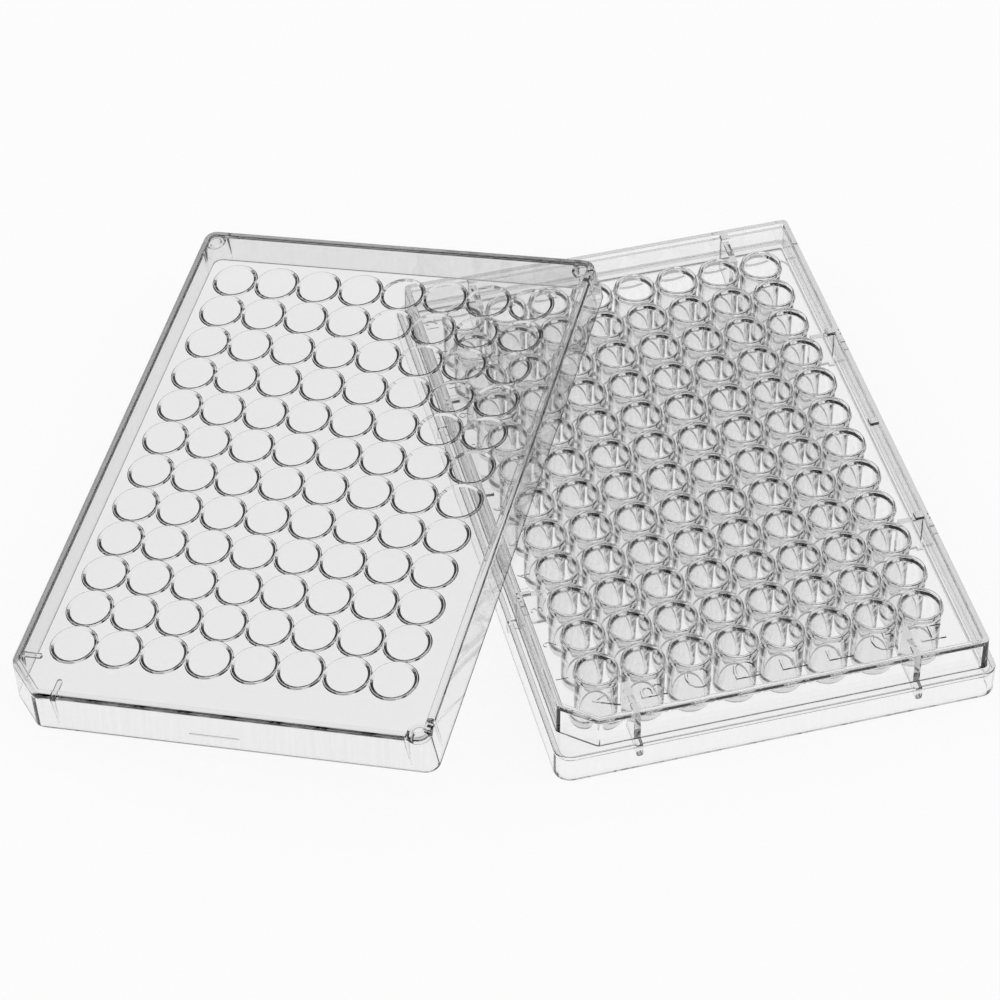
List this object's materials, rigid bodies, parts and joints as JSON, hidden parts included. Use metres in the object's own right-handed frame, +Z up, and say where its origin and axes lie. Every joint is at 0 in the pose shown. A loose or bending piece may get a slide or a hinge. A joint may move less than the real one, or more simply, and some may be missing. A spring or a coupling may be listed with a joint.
{
  "type": "well plate",
  "caption": "Clear multi-well plate on a stepped flange with one cut corner, its lid taken off and leaning across the plate's corner.",
  "frame": {"origin": "on the table, under the middle of the plate and the leaning lid taken together", "axes": "+Z up; +Y along the plate's long side, away from its cut corner; +X along its short side, away from the lid"},
  "size_m": [0.1778, 0.1508, 0.026],
  "materials": {
    "plate_plastic": "clear polished polystyrene",
    "lid_plastic": "clear polished polystyrene"
  },
  "bodies": {
    "root": {"well_plate": "plate_plastic", "lid": "lid_plastic"}
  },
  "joints": []
}
